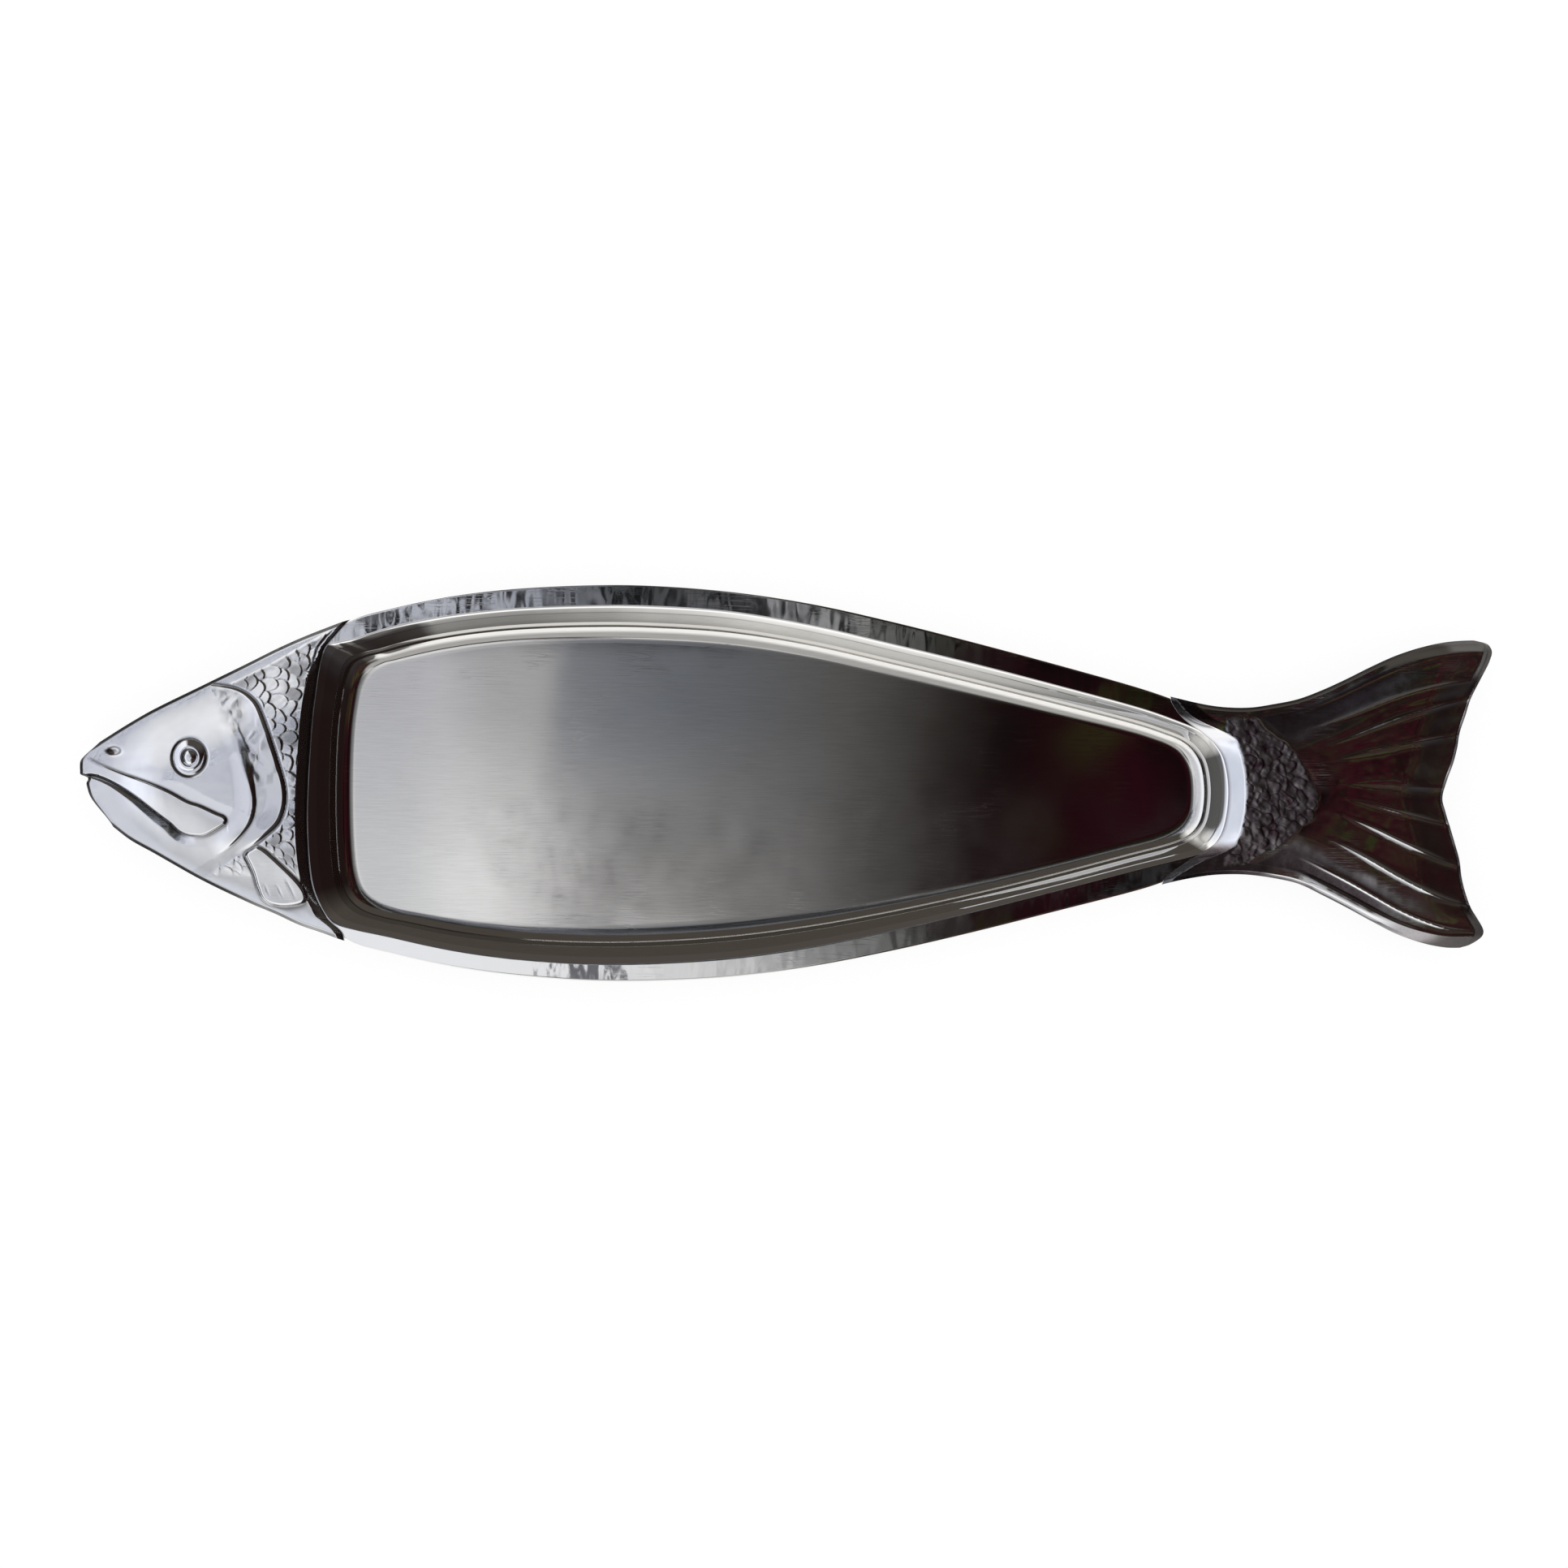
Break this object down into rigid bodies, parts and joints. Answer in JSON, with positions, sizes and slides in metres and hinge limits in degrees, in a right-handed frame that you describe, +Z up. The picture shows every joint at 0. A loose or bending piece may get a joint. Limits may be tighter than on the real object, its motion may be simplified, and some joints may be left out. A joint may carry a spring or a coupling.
{
  "type": "fish shaped serving platter",
  "caption": "Long fish shaped serving platter: a sheet metal tray with a sloped well and flat rim, and a cast head and tail screwed on over its ends.",
  "frame": {"origin": "centre of the bounding box on the table plane, under the tray's floor", "axes": "+X from head to tail, +Y to the fish's back, +Z up out of the well"},
  "size_m": [0.7, 0.197, 0.0281],
  "materials": {
    "tray_steel": "brushed satin well, mirror polished rim",
    "casting": "mirror polished casting with relief",
    "fastener_steel": "plain turned steel"
  },
  "bodies": {
    "root": {"tray": "tray_steel", "head": "casting", "tail": "casting", "head_screw_1": "fastener_steel", "head_screw_2": "fastener_steel", "head_screw_3": "fastener_steel", "tail_screw_1": "fastener_steel", "tail_screw_2": "fastener_steel", "head_washer_1": "fastener_steel", "head_washer_2": "fastener_steel", "head_washer_3": "fastener_steel", "tail_washer_1": "fastener_steel", "tail_washer_2": "fastener_steel"}
  },
  "joints": []
}
